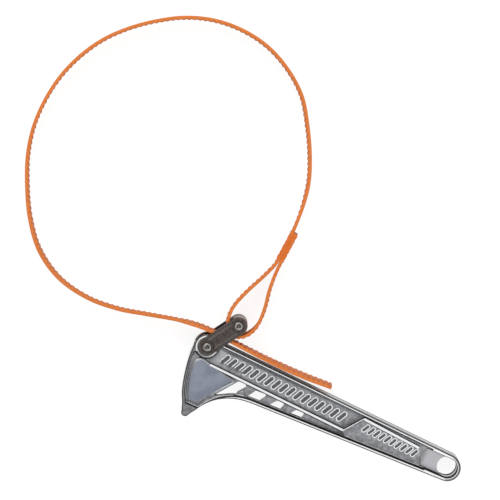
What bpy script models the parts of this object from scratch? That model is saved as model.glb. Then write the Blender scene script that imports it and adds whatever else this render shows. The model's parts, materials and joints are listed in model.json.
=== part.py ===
"""Strap wrench lying on its side: a cast handle, a riveted link and a webbing strap.

Metres, +Z up. The origin is on the pivot's axis, on the bench plane under the pin heads.
+X runs along the handle to its hang hole, +Y points at the strap's loop, and Z is along
both pins and across the width of the strap. The casting is the same on both sides.
"""

import math

import bmesh
import bpy
from mathutils import Vector

# Driving dimensions
GAP = 0.0003  # left between pieces that touch
BEYOND = 0.010  # how far a cutter reaches past what it cuts
HANDLE_LENGTH = 0.3048  # nose to tail, a 12 inch handle
FLANGE_WIDTH = 0.0256  # across the handle's flanges, along Z
STRAP_WIDTH = 0.0254  # 1 inch webbing
STRAP_THICKNESS = 0.0033  # over its ribs
LINK_LENGTH = 0.039  # pivot axis to anchor axis
LINK_ANGLE = math.radians(57.5)  # of the link to the handle, at rest
PLATE_THICKNESS = 0.0030
PLATE_RADIUS = 0.0092
PIN_RADIUS = 0.0030
PIN_HEAD_RADIUS = 0.0043
PIN_HEAD_THICKNESS = 0.0014
PIN_DIMPLE_RADIUS = 0.0026
PIN_DIMPLE_DEPTH = 0.0009

# Handle casting
BOSS_WIDTH = 0.0260
BOSS_RADIUS = 0.0113
NOSE_RADIUS = 0.0127
WEB = 0.0080
PAD_WIDTH = 0.0140  # across the raised heel pads
RIB_HALF = PAD_WIDTH / 2 + GAP
TAIL_WEB = 0.0044
TAIL_RADIUS = 0.0139
HANG_RADIUS = 0.0103
TAIL_X = HANDLE_LENGTH - NOSE_RADIUS - TAIL_RADIUS
TAIL_Y = -0.0157
FLANGE = 0.0028  # thickness of the flanges and of the rim round the heel
HEAD_TOP = 0.0085  # height of the top flange where it leaves the nose
TIP = (0.0066, -0.0716)  # centre of the round that closes the heel
TIP_RADIUS = 0.0041
POCKET_TO_HOLE = 0.022  # from the main pocket's end to the hang hole's centre
TAIL_DROP = 0.0004  # rise of the top flange at that end above the tail's round
TAIL_POCKET_TO_HOLE = 0.0265  # from the tail pocket's corners to the same centre
TAIL_WALL_BOW = 0.0035

# Sleeves on the pins
PIVOT_SLEEVE_RADIUS = 0.0050
ANCHOR_SLEEVE_RADIUS = 0.0075
SLEEVE_BORE = PIN_RADIUS + GAP

# Heights, measured from the mid-plane
PLATE_Z = BOSS_WIDTH / 2 + GAP
PIN_HEAD_Z = PLATE_Z + PLATE_THICKNESS + GAP
PIN_END_Z = PIN_HEAD_Z + PIN_HEAD_THICKNESS
MID = PIN_END_Z  # height of the mid-plane above the bench
ANCHOR = (LINK_LENGTH * math.cos(LINK_ANGLE), LINK_LENGTH * math.sin(LINK_ANGLE))

# Curves of the casting, each through a few points
NECK = [(0.0820, -0.0352), (0.0600, -0.0361), (0.0458, -0.0390), (0.0309, -0.0468), (0.0206, -0.0570)]
NECK += [(0.0146, -0.0665), (0.0103, -0.0725)]
HEEL = [(0.0022, -0.0712), (0.0000, -0.0643), (-0.0057, -0.0519), (-0.0108, -0.0313)]
HEEL += [(-0.0130, -0.0130), (-NOSE_RADIUS, 0.0)]
NECK_INNER = [(0.0820, -0.0320), (0.0600, -0.0328), (0.0472, -0.0355), (0.0330, -0.0432), (0.0234, -0.0527)]
NECK_INNER += [(0.0170, -0.0620)]
HEEL_INNER = [(0.0034, -0.0620), (-0.0027, -0.0500), (-0.0077, -0.0310), (-0.0099, -0.0150)]
HEEL_INNER += [(-0.0100, -0.0100)]
PAD = [(-0.0062, -0.0184), (-0.0055, -0.0318), (-0.0036, -0.0421), (0.0000, -0.0524), (0.0035, -0.0605)]
PAD += [(0.0135, -0.0605), (0.0196, -0.0515), (0.0264, -0.0439), (0.0424, -0.0217), (0.0100, -0.0155)]
PAD += [(0.0000, -0.0100)]

# Lightening windows through the web, and the ribs as (start, end, width)
NECK_WINDOW = [(0.0278, -0.0438), (0.0448, -0.0211), (0.0525, -0.0210), (0.0546, -0.0232)]
NECK_WINDOW += [(0.0479, -0.0315), (0.0479, -0.0340)]
WINDOWS = [
    NECK_WINDOW,
    [(0.0592, -0.0321), (0.0649, -0.0227), (0.0762, -0.0222), (0.0767, -0.0248), (0.0721, -0.0317)],
    [(0.0829, -0.0315), (0.0896, -0.0232), (0.0968, -0.0234), (0.0979, -0.0250), (0.0953, -0.0314)],
    [(0.1061, -0.0311), (0.1112, -0.0243), (0.1195, -0.0243), (0.1208, -0.0258), (0.1190, -0.0308)],
]
WINDOW_CORNER = 0.0008
RIBS = [
    ((0.0100, -0.0166), (0.1645, -0.0237), 0.0027),
    ((0.1640, -0.0239), (0.1796, -0.0032), 0.0014),
    ((0.1790, -0.0042), (0.2440, -0.0090), 0.0030),
]

# The strap's centre line on the mid-plane, from the cut end of its tail, through the throat
# between the head's nose and the sewn eye, round the loop, down one layer of the sewn
# block, round the eye and up the other layer. Each stretch ends where the next one starts.
STRETCHES = {
    "strap_tail_end": [(0.1345, 0.0126), (0.1050, 0.0111), (0.0780, 0.0111)],
    "strap_tail": [(0.0780, 0.0111), (0.0560, 0.0119), (0.0380, 0.0130), (0.0180, 0.0145)],
    "strap_throat": [
        (0.0180, 0.0145),
        (0.0080, 0.0153),
        (-0.0020, 0.0157),
        (-0.0120, 0.0156),
        (-0.0240, 0.0145),
    ],
    "strap_loop": [
        (-0.0240, 0.0145),
        (-0.0400, 0.0118),
        (-0.0700, 0.0046),
        (-0.1000, -0.0022),
        (-0.1330, -0.0042),
        (-0.1679, 0.0029),
        (-0.1981, 0.0214),
        (-0.2202, 0.0483),
        (-0.2359, 0.0774),
        (-0.2476, 0.1064),
        (-0.2537, 0.1361),
        (-0.2536, 0.1659),
        (-0.2486, 0.1945),
        (-0.2384, 0.2213),
        (-0.2238, 0.2456),
        (-0.2045, 0.2666),
        (-0.1820, 0.2846),
        (-0.1568, 0.2996),
        (-0.1283, 0.3091),
        (-0.0978, 0.3115),
        (-0.0675, 0.3066),
        (-0.0393, 0.2937),
        (-0.0150, 0.2745),
        (0.0026, 0.2492),
        (0.0170, 0.2228),
        (0.0272, 0.1972),
        (0.0319, 0.1721),
        (0.0334, 0.1480),
    ],
    "strap_eye": [
        (0.0334, 0.1480),
        (0.0332, 0.1400),
        (0.0328, 0.1320),
        (0.0313, 0.1130),
        (0.0309, 0.1080),
        (0.0301, 0.1040),
        (0.0285, 0.0995),
        (0.0240, 0.0880),
        (0.0160, 0.0700),
        (0.0099, 0.0530),
        (0.0082, 0.0420),
        (0.0096, 0.0312),
        (0.0145, 0.0234),
        (0.0210, 0.0210),
        (0.0279, 0.0228),
        (0.0342, 0.0286),
        (0.0386, 0.0380),
        (0.0396, 0.0500),
        (0.0383, 0.0640),
        (0.0361, 0.0760),
        (0.0349, 0.0880),
        (0.0345, 0.0995),
        (0.0348, 0.1080),
        (0.0351, 0.1130),
        (0.0366, 0.1320),
        (0.0373, 0.1430),
    ],
}
SPACING = {
    "strap_tail_end": 0.009,
    "strap_tail": 0.009,
    "strap_throat": 0.004,
    "strap_loop": 0.009,
    "strap_eye": 0.003,
}

# Thread that closes the eye: rows of stitches across both faces of the sewn block
BLOCK_START = (0.0333, 0.1150)
BLOCK_END = (0.0352, 0.1385)
BLOCK_HALF = STRAP_THICKNESS + 0.0002  # two layers of webbing, measured from the middle
STITCH_ROWS = 7
STITCH_REACH = 0.0108  # from the mid-plane to the end of a row
THREAD_RADIUS = 0.0004


def clear_scene():
    for thing in list(bpy.data.objects):
        bpy.data.objects.remove(thing, do_unlink=True)


def collection(name):
    made = bpy.data.collections.new(name)
    bpy.context.scene.collection.children.link(made)
    return made


def material(name, colour, roughness, metallic):
    made = bpy.data.materials.new(name)
    made.use_nodes = True
    made.diffuse_color = (*colour, 1.0)
    shader = made.node_tree.nodes["Principled BSDF"]
    shader.inputs["Base Color"].default_value = (*colour, 1.0)
    shader.inputs["Roughness"].default_value = roughness
    shader.inputs["Metallic"].default_value = metallic
    return made


def add(name, mesh, where, finish=None):
    """A new object holding the mesh, its origin at the world's, in one collection."""
    made = bpy.data.objects.new(name, mesh)
    where.objects.link(made)
    if finish:
        mesh.materials.append(finish)
    return made


def arc(centre, radius, start, end, steps):
    """Points along an arc, angles in degrees."""
    turn = [math.radians(start + (end - start) * i / steps) for i in range(steps + 1)]
    return [(centre[0] + radius * math.cos(a), centre[1] + radius * math.sin(a)) for a in turn]


def circle(centre, radius):
    """Points of a whole circle, the first not repeated."""
    return arc(centre, radius, 0, 350, 35)


def smooth(points, spacing):
    """Points about spacing apart on a centripetal curve through the given ones.

    Returns one list for each pair of given points; a list ends where the next starts.
    """
    given = [Vector(p) for p in points]
    ends = [2 * given[0] - given[1], *given, 2 * given[-1] - given[-2]]
    runs = []
    for before, start, end, after in zip(ends, ends[1:], ends[2:], ends[3:]):
        k0 = math.sqrt((start - before).length)
        k1 = math.sqrt((end - start).length)
        k2 = math.sqrt((after - end).length)
        leave = (start - before) * (k1 / k0) - (end - before) * (k1 / (k0 + k1)) + (end - start)
        arrive = (end - start) - (after - start) * (k1 / (k1 + k2)) + (after - end) * (k1 / k2)
        steps = max(1, round((end - start).length / spacing))
        run = []
        for i in range(steps + 1):
            t = i / steps
            a = start * (2 * t**3 - 3 * t**2 + 1) + leave * (t**3 - 2 * t**2 + t)
            run.append(a + end * (3 * t**2 - 2 * t**3) + arrive * (t**3 - t**2))
        runs.append(run)
    return runs


def through(points, spacing):
    """One list of points on the smooth curve through the given ones."""
    runs = smooth(points, spacing)
    return [tuple(p) for run in runs for p in run[:-1]] + [tuple(runs[-1][-1])]


def rounded(corners, radius, steps=3):
    """The corners of an outline, each replaced by a short arc-like blend."""
    made = []
    count = len(corners)
    for i in range(count):
        here = Vector(corners[i])
        back = (Vector(corners[i - 1]) - here).normalized() * radius
        ahead = (Vector(corners[(i + 1) % count]) - here).normalized() * radius
        for k in range(steps + 1):
            t = k / steps
            made.append(tuple(here + back * (1 - t) ** 2 + ahead * t**2))
    return made


def mesh_of(curve_object):
    """The evaluated curve as a mesh with its caps welded. The curve is removed."""
    bpy.context.view_layer.update()
    graph = bpy.context.evaluated_depsgraph_get()
    mesh = bpy.data.meshes.new_from_object(curve_object.evaluated_get(graph))
    mesh.transform(curve_object.matrix_world)
    work = bmesh.new()
    work.from_mesh(mesh)
    bmesh.ops.remove_doubles(work, verts=work.verts, dist=0.00001)
    work.to_mesh(mesh)
    work.free()
    bpy.data.objects.remove(curve_object, do_unlink=True)
    return mesh


def flat_curve(points, low, high, closed):
    """A flat curve of straight pieces, extruded from one height to another."""
    data = bpy.data.curves.new("outline", "CURVE")
    data.dimensions = "2D"
    data.fill_mode = "BOTH" if closed else "NONE"
    data.extrude = (high - low) / 2
    line = data.splines.new("POLY")
    line.points.add(len(points) - 1)
    for point, (x, y) in zip(line.points, points):
        point.co = (x, y, 0.0, 1.0)
    line.use_cyclic_u = closed
    made = bpy.data.objects.new("outline", data)
    bpy.context.scene.collection.objects.link(made)
    made.location.z = (high + low) / 2
    return made


def prism(name, points, low, high, where, finish=None):
    """A closed flat outline made solid between two heights."""
    return add(name, mesh_of(flat_curve(points, low, high, True)), where, finish)


def ribbon(name, points, where, finish):
    """A strip of webbing that stands on its edge along the points."""
    half = STRAP_WIDTH / 2
    made = add(name, mesh_of(flat_curve(points, MID - half, MID + half, False)), where, finish)
    solid = made.modifiers.new("thickness", "SOLIDIFY")
    solid.thickness = STRAP_THICKNESS
    solid.offset = 0.0
    solid.use_even_offset = True
    made.data.shade_smooth()
    made.data.set_sharp_from_angle(angle=math.radians(35))
    return made


def turned(name, profile, axis, where, finish=None, steps=40):
    """A solid of revolution about a vertical axis. The profile runs top to bottom."""
    mesh = bpy.data.meshes.new(name)
    mesh.from_pydata([(r, 0.0, z) for r, z in profile], [(i, i + 1) for i in range(len(profile) - 1)], [])
    made = add(name, mesh, where, finish)
    made.location = (axis[0], axis[1], 0.0)
    screw = made.modifiers.new("turn", "SCREW")
    screw.axis = "Z"
    screw.steps = steps
    screw.render_steps = steps
    screw.use_merge_vertices = True
    screw.merge_threshold = 0.00001
    screw.use_smooth_shade = False
    return made


def bar(name, start, end, width, low, high, where):
    """A straight box between two points on the plane."""
    along = Vector(end) - Vector(start)
    bpy.ops.mesh.primitive_cube_add(size=1.0)
    made = bpy.context.object
    made.name = name
    made.data.transform(made.matrix_world)
    for vertex in made.data.vertices:
        vertex.co.x *= along.length
        vertex.co.y *= width
        vertex.co.z *= high - low
    middle = (Vector(start) + Vector(end)) / 2
    made.location = (middle.x, middle.y, (low + high) / 2)
    made.rotation_euler.z = math.atan2(along.y, along.x)
    for old in list(made.users_collection):
        old.objects.unlink(made)
    where.objects.link(made)
    return made


def combine(target, tool, operation):
    """A Boolean on the target. The tool is left as a hidden guide."""
    change = target.modifiers.new(tool.name, "BOOLEAN")
    change.operation = operation
    change.solver = "EXACT"
    change.object = tool
    tool.hide_render = True
    tool.display_type = "WIRE"


def both_sides(target, name, points, floor, cutters):
    """Cuts one pocket into each side of the handle, down to a web of thickness floor."""
    far = BOSS_WIDTH / 2 + BEYOND
    upper = prism(f"{name}_upper", points, MID + floor / 2, MID + far, cutters)
    lower = prism(f"{name}_lower", points, MID - far, MID - floor / 2, cutters)
    combine(target, upper, "DIFFERENCE")
    combine(target, lower, "DIFFERENCE")


def handle_outline():
    """Round the nose, along the top flange, round the tail, and back by neck, tip and heel."""
    top = arc((0.0, 0.0), NOSE_RADIUS, 180, 52, 18)
    shoulder = through([top[-1], (0.0110, HEAD_TOP + 0.0001), (0.0160, HEAD_TOP)], 0.0015)[1:]
    tail = arc((TAIL_X, TAIL_Y), TAIL_RADIUS, 88, -88, 22)
    neck = through(NECK, 0.004)
    tip = arc(TIP, TIP_RADIUS, -35, -190, 8)
    heel = through(HEEL, 0.006)[1:-1]
    return top + shoulder + tail + neck[:-1] + tip + heel


def pocket_outline():
    """The main pocket: inside the rim, from the heel to the tail."""
    right = TAIL_X - POCKET_TO_HOLE
    top = [(0.0135, HEAD_TOP - FLANGE), (right, TAIL_Y + TAIL_RADIUS - FLANGE + TAIL_DROP)]
    bottom = [(right, TAIL_Y - TAIL_RADIUS + FLANGE)]
    return top + bottom + through(NECK_INNER, 0.005) + through(HEEL_INNER, 0.006) + [(0.0, -0.006)]


def tail_pocket_outline():
    """The deeper tail pocket: a curved wall on the left, open to the hang hole."""
    half = HANG_RADIUS - 0.0001
    left = TAIL_X - TAIL_POCKET_TO_HOLE
    wall = through([(left, TAIL_Y - half), (left - TAIL_WALL_BOW, TAIL_Y), (left, TAIL_Y + half)], 0.003)
    return [(TAIL_X, TAIL_Y + half), (TAIL_X, TAIL_Y - half)] + wall


def make_handle(parts, cutters, finish):
    low = MID - FLANGE_WIDTH / 2
    high = MID + FLANGE_WIDTH / 2
    handle = prism("handle", handle_outline(), low, high, parts, finish)
    both_sides(handle, "pocket", pocket_outline(), WEB, cutters)
    both_sides(handle, "tail_pocket", tail_pocket_outline(), TAIL_WEB, cutters)
    pad = prism("pad", PAD, MID - PAD_WIDTH / 2, MID + PAD_WIDTH / 2, cutters)
    combine(handle, pad, "UNION")
    for i, (start, end, width) in enumerate(RIBS):
        rib = bar(f"rib_{i}", start, end, width, MID - RIB_HALF, MID + RIB_HALF, cutters)
        combine(handle, rib, "UNION")
    boss = prism("boss", circle((0.0, 0.0), BOSS_RADIUS), MID - BOSS_WIDTH / 2, MID + BOSS_WIDTH / 2, cutters)
    combine(handle, boss, "UNION")
    for i, corners in enumerate(WINDOWS):
        window = prism(f"window_{i}", rounded(corners, WINDOW_CORNER), low, high, cutters)
        combine(handle, window, "DIFFERENCE")
    hole = prism("hang_hole", circle((TAIL_X, TAIL_Y), HANG_RADIUS), low - BEYOND, high + BEYOND, cutters)
    combine(handle, hole, "DIFFERENCE")
    bore = circle((0.0, 0.0), PIVOT_SLEEVE_RADIUS + GAP)
    combine(handle, prism("bore", bore, low - BEYOND, high + BEYOND, cutters), "DIFFERENCE")
    return handle


def make_plate(name, low, parts, cutters, finish):
    """One side plate of the link: a flat bar with round ends and two pin holes."""
    turn = math.degrees(LINK_ANGLE)
    outline = arc(ANCHOR, PLATE_RADIUS, turn - 90, turn + 90, 20)
    outline += arc((0.0, 0.0), PLATE_RADIUS, turn + 90, turn + 270, 20)
    plate = prism(name, outline, low, low + PLATE_THICKNESS, parts, finish)
    for i, centre in enumerate(((0.0, 0.0), ANCHOR)):
        hole = circle(centre, PIN_RADIUS + GAP)
        tool = prism(f"{name}_hole_{i}", hole, low - BEYOND, low + PLATE_THICKNESS + BEYOND, cutters)
        combine(plate, tool, "DIFFERENCE")
    edge = plate.modifiers.new("edge", "BEVEL")
    edge.width = 0.0004
    edge.segments = 1
    edge.limit_method = "ANGLE"
    edge.angle_limit = math.radians(60)
    return plate


def make_pin(name, axis, parts, finish):
    """A semi-tubular rivet: a rolled end with a dimple in front, a plain flat head behind."""
    dimple = PIN_END_Z - PIN_DIMPLE_DEPTH
    edge = 0.0003
    rolled_end = [
        (0.0, dimple),
        (PIN_DIMPLE_RADIUS - edge, dimple),
        (PIN_DIMPLE_RADIUS, PIN_END_Z),
        (PIN_HEAD_RADIUS - edge, PIN_END_Z),
        (PIN_HEAD_RADIUS, PIN_END_Z - edge),
        (PIN_HEAD_RADIUS, PIN_HEAD_Z),
        (PIN_RADIUS, PIN_HEAD_Z),
    ]
    flat_head = [
        (PIN_RADIUS, -PIN_HEAD_Z),
        (PIN_HEAD_RADIUS, -PIN_HEAD_Z),
        (PIN_HEAD_RADIUS, edge - PIN_END_Z),
        (PIN_HEAD_RADIUS - edge, -PIN_END_Z),
        (0.0, -PIN_END_Z),
    ]
    profile = [(r, MID + z) for r, z in rolled_end + flat_head]
    return turned(name, profile, axis, parts, finish)


def make_sleeve(name, axis, radius, parts, finish):
    """A spacer tube that keeps the two plates apart."""
    high = MID + BOSS_WIDTH / 2
    low = MID - BOSS_WIDTH / 2
    ring = [(SLEEVE_BORE, high), (radius, high), (radius, low), (SLEEVE_BORE, low), (SLEEVE_BORE, high)]
    return turned(name, ring, axis, parts, finish, steps=36)


def strap_runs():
    """Points of each stretch of the strap, shortened by half a gap where two meet."""
    route = [STRETCHES["strap_tail_end"][0]]
    for points in STRETCHES.values():
        route += points[1:]
    runs = {}
    done = 0
    for name, points in STRETCHES.items():
        legs = smooth(route, SPACING[name])[done : done + len(points) - 1]
        done += len(points) - 1
        run = [p for leg in legs for p in leg[:-1]] + [legs[-1][-1]]
        run[0] = run[0] + (run[1] - run[0]).normalized() * GAP / 2
        run[-1] = run[-1] + (run[-2] - run[-1]).normalized() * GAP / 2
        runs[name] = [tuple(p) for p in run]
    return runs


def make_stitching(name, side, parts, finish):
    """One thread that runs to and fro across a face of the sewn block."""
    start = Vector(BLOCK_START)
    along = Vector(BLOCK_END) - start
    across = Vector((along.y, -along.x)).normalized()
    foot = start + across * side * (BLOCK_HALF + GAP + THREAD_RADIUS)
    data = bpy.data.curves.new(name, "CURVE")
    data.dimensions = "3D"
    data.bevel_depth = THREAD_RADIUS
    data.bevel_resolution = 2
    data.use_fill_caps = True
    line = data.splines.new("POLY")
    line.points.add(2 * STITCH_ROWS - 1)
    for i, point in enumerate(line.points):
        row = i // 2
        edge = STITCH_REACH if (i + row) % 2 else -STITCH_REACH
        here = foot + along * row / (STITCH_ROWS - 1)
        point.co = (here.x, here.y, MID + edge, 1.0)
    made = bpy.data.objects.new("thread", data)
    bpy.context.scene.collection.objects.link(made)
    return add(name, mesh_of(made), parts, finish)


def main():
    clear_scene()
    parts = collection("strap_wrench")
    cutters = collection("strap_wrench_cutters")
    aluminium = material("cast_aluminium", (0.60, 0.61, 0.63), 0.35, 1.0)
    black_steel = material("blackened_steel", (0.06, 0.05, 0.045), 0.45, 1.0)
    pin_steel = material("pin_steel", (0.30, 0.29, 0.28), 0.35, 1.0)
    webbing = material("orange_webbing", (0.85, 0.19, 0.02), 0.75, 0.0)
    thread = material("orange_thread", (0.75, 0.15, 0.02), 0.85, 0.0)

    make_handle(parts, cutters, aluminium)
    make_plate("front_link_plate", MID + PLATE_Z, parts, cutters, black_steel)
    make_plate("rear_link_plate", MID - PLATE_Z - PLATE_THICKNESS, parts, cutters, black_steel)
    make_pin("pivot_pin", (0.0, 0.0), parts, pin_steel)
    make_pin("anchor_pin", ANCHOR, parts, pin_steel)
    make_sleeve("pivot_sleeve", (0.0, 0.0), PIVOT_SLEEVE_RADIUS, parts, pin_steel)
    make_sleeve("anchor_sleeve", ANCHOR, ANCHOR_SLEEVE_RADIUS, parts, pin_steel)
    for name, points in strap_runs().items():
        ribbon(name, points, parts, webbing)
    make_stitching("left_stitching", -1, parts, thread)
    make_stitching("right_stitching", 1, parts, thread)


main()
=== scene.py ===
"""Looks of the strap wrench: a cast handle, a riveted link and a ribbed orange strap."""
import json
import math

import bmesh
import bpy
from mathutils import Matrix, Vector


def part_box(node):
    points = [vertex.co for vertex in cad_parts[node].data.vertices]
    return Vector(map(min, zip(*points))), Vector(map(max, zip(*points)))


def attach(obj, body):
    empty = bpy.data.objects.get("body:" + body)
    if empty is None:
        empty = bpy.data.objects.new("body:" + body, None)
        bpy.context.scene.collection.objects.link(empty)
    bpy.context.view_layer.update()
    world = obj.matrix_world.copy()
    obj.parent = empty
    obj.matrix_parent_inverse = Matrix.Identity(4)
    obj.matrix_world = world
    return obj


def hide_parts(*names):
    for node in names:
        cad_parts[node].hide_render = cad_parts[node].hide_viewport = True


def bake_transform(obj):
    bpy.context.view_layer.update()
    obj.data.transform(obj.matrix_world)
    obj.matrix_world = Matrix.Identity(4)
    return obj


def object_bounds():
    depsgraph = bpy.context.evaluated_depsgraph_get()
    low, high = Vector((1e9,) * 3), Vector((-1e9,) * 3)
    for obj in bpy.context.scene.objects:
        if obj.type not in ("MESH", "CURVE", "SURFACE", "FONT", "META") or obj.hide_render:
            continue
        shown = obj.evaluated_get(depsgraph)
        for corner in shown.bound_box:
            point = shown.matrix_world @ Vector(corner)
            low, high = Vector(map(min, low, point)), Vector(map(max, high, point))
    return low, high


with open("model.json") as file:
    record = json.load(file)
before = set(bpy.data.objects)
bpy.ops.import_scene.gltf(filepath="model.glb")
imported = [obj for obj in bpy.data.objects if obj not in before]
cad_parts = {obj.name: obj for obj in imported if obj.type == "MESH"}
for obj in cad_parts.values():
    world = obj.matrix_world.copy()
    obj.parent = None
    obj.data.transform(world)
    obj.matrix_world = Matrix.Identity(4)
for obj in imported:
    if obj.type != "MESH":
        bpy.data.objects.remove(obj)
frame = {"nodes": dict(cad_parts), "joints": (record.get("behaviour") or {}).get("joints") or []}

CAD_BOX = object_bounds()
JOINTS = {joint["name"]: joint for joint in frame["joints"]}
HANDLE_LOW, HANDLE_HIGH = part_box("handle")
MID = (HANDLE_LOW[2] + HANDLE_HIGH[2]) / 2
BOSS_HALF = (HANDLE_HIGH[2] - HANDLE_LOW[2]) / 2
ANCHOR = JOINTS["eye_swing"]["pos_m"][:2]
PIVOT = JOINTS["link_pivot"]["pos_m"][:2]
LINK_TURN = math.degrees(math.atan2(ANCHOR[1] - PIVOT[1], ANCHOR[0] - PIVOT[0]))

# Camera: above the loop, looking down at a slight slant, with the handle falling away to the right
CAMERA_AIM = (0.0, 0.1093)
CAMERA_OVER = (-0.135, 0.360)  # the point that it stands above
CAMERA_HEIGHT = 3.0  # above the flanges' upper faces
VIEW_WIDTH = 0.5129  # seen at that level
IMAGE_RIGHT = (0.9152, 0.4031, 0.0)

# Handle casting; heights are from the mid-plane
FLANGE_HALF = 0.0128
WEB_HALF = 0.0040
CHANNEL_HALF = 0.0030
TAIL_WEB_HALF = 0.0022
PAD_HALF = 0.0070
FLANGE = 0.0028  # thickness of the flanges and of the rim round the heel
BOSS_RADIUS = 0.0113
NOSE_RADIUS = 0.0127
BORE_RADIUS = 0.0053
TAIL_RADIUS = 0.0139
HANG_RADIUS = 0.0103
TAIL_X = 0.2782
TAIL_Y = -0.0157
HEAD_TOP = 0.0085  # height of the top flange where it leaves the nose
TIP = (0.0066, -0.0716)  # centre of the round that closes the heel
TIP_RADIUS = 0.0041
POCKET_TO_HOLE = 0.022  # from the main pocket's end to the hang hole's centre
TAIL_DROP = 0.0004  # rise of the top flange at that end above the tail's round
TAIL_POCKET_TO_HOLE = 0.0265  # from the tail pocket's corners to the same centre
TAIL_WALL_BOW = 0.0035

NECK = [(0.0820, -0.0352), (0.0600, -0.0361), (0.0458, -0.0390), (0.0309, -0.0468), (0.0206, -0.0570)]
NECK += [(0.0146, -0.0665), (0.0103, -0.0725)]
HEEL = [(0.0022, -0.0712), (0.0000, -0.0643), (-0.0057, -0.0519), (-0.0108, -0.0313)]
HEEL += [(-0.0130, -0.0130), (-NOSE_RADIUS, 0.0)]
NECK_INNER = [(0.0820, -0.0320), (0.0600, -0.0328), (0.0472, -0.0355), (0.0330, -0.0432), (0.0234, -0.0527)]
NECK_INNER += [(0.0170, -0.0620)]
HEEL_INNER = [(0.0034, -0.0620), (-0.0027, -0.0500), (-0.0077, -0.0310), (-0.0099, -0.0150)]
HEEL_INNER += [(-0.0100, -0.0100)]
PAD = [(-0.0062, -0.0184), (-0.0055, -0.0318), (-0.0036, -0.0421), (0.0000, -0.0524), (0.0035, -0.0605)]
PAD += [(0.0135, -0.0605), (0.0196, -0.0515), (0.0264, -0.0439), (0.0424, -0.0217), (0.0100, -0.0155)]
PAD += [(0.0000, -0.0125)]
PAD_CORNER = 0.0040
CHANNEL = [(0.0500, -0.0206), (0.1640, -0.0257), (0.1690, -0.0288), (0.0820, -0.0314), (0.0560, -0.0322)]
NECK_WINDOW = [(0.0278, -0.0438), (0.0448, -0.0211), (0.0525, -0.0210), (0.0546, -0.0232)]
NECK_WINDOW += [(0.0479, -0.0315), (0.0479, -0.0340)]
WINDOWS = [
    NECK_WINDOW,
    [(0.0592, -0.0321), (0.0649, -0.0227), (0.0762, -0.0222), (0.0767, -0.0248), (0.0721, -0.0317)],
    [(0.0829, -0.0315), (0.0896, -0.0232), (0.0968, -0.0234), (0.0979, -0.0250), (0.0953, -0.0314)],
    [(0.1061, -0.0311), (0.1112, -0.0243), (0.1195, -0.0243), (0.1208, -0.0258), (0.1190, -0.0308)],
]
WINDOW_CORNER = 0.0008
# Ribs on the web as (start, end, width)
RIBS = [
    ((0.0100, -0.0166), (0.1645, -0.0237), 0.0027),
    ((0.1640, -0.0239), (0.1796, -0.0032), 0.0014),
    ((0.1790, -0.0042), (0.2440, -0.0090), 0.0030),
]
# Raised grip bars in two panels: count, first middle, last middle, height, width
GRIP_BARS = [
    (17, (0.0230, -0.0058), (0.1570, -0.0115), 0.0118, 0.0040),
    (10, (0.1850, -0.0128), (0.2415, -0.0160), 0.0090, 0.0030),
]
BAR_SLANT = math.radians(62)

# Link
PLATE_RADIUS = 0.0092
PIN_HOLE = 0.0033
PLATE_SHARE = 0.78  # of a plate's thickness that lies below its raised panel
RECESS_RADIUS = 0.0056  # of the sunk rings round the pins' heads
PANEL_MARGIN = 0.0018  # from the plate's long sides to its raised panel
PANEL_START = 0.0072  # from a pin's axis to the panel's corners
PANEL_HOLLOW = 0.0068  # radius of the panel's hollow ends
PANEL_SPREAD = 54  # half the angle of a hollow end
SHANK_RADIUS = 0.0030
RIVET_HEAD = 0.0014  # thickness of a pin's head

# Strap: the same route as the CAD model's, from the cut end of the tail to the block's end
STRETCHES = {
    "strap_tail_end": [(0.1345, 0.0126), (0.1050, 0.0111), (0.0780, 0.0111)],
    "strap_tail": [(0.0780, 0.0111), (0.0560, 0.0119), (0.0380, 0.0130), (0.0180, 0.0145)],
    "strap_throat": [
        (0.0180, 0.0145),
        (0.0080, 0.0153),
        (-0.0020, 0.0157),
        (-0.0120, 0.0156),
        (-0.0240, 0.0145),
    ],
    "strap_loop": [
        (-0.0240, 0.0145),
        (-0.0400, 0.0118),
        (-0.0700, 0.0046),
        (-0.1000, -0.0022),
        (-0.1330, -0.0042),
        (-0.1679, 0.0029),
        (-0.1981, 0.0214),
        (-0.2202, 0.0483),
        (-0.2359, 0.0774),
        (-0.2476, 0.1064),
        (-0.2537, 0.1361),
        (-0.2536, 0.1659),
        (-0.2486, 0.1945),
        (-0.2384, 0.2213),
        (-0.2238, 0.2456),
        (-0.2045, 0.2666),
        (-0.1820, 0.2846),
        (-0.1568, 0.2996),
        (-0.1283, 0.3091),
        (-0.0978, 0.3115),
        (-0.0675, 0.3066),
        (-0.0393, 0.2937),
        (-0.0150, 0.2745),
        (0.0026, 0.2492),
        (0.0170, 0.2228),
        (0.0272, 0.1972),
        (0.0319, 0.1721),
        (0.0334, 0.1480),
    ],
    "strap_eye": [
        (0.0334, 0.1480),
        (0.0332, 0.1400),
        (0.0328, 0.1320),
        (0.0313, 0.1130),
        (0.0309, 0.1080),
        (0.0301, 0.1040),
        (0.0285, 0.0995),
        (0.0240, 0.0880),
        (0.0160, 0.0700),
        (0.0099, 0.0530),
        (0.0082, 0.0420),
        (0.0096, 0.0312),
        (0.0145, 0.0234),
        (0.0210, 0.0210),
        (0.0279, 0.0228),
        (0.0342, 0.0286),
        (0.0386, 0.0380),
        (0.0396, 0.0500),
        (0.0383, 0.0640),
        (0.0361, 0.0760),
        (0.0349, 0.0880),
        (0.0345, 0.0995),
        (0.0348, 0.1080),
        (0.0351, 0.1130),
        (0.0366, 0.1320),
        (0.0373, 0.1430),
    ],
}
LEAD_END = (-0.2359, 0.0774)  # where the lead, which flexes at the throat, turns into the loop
EYE_START = STRETCHES["strap_eye"][0]
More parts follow.
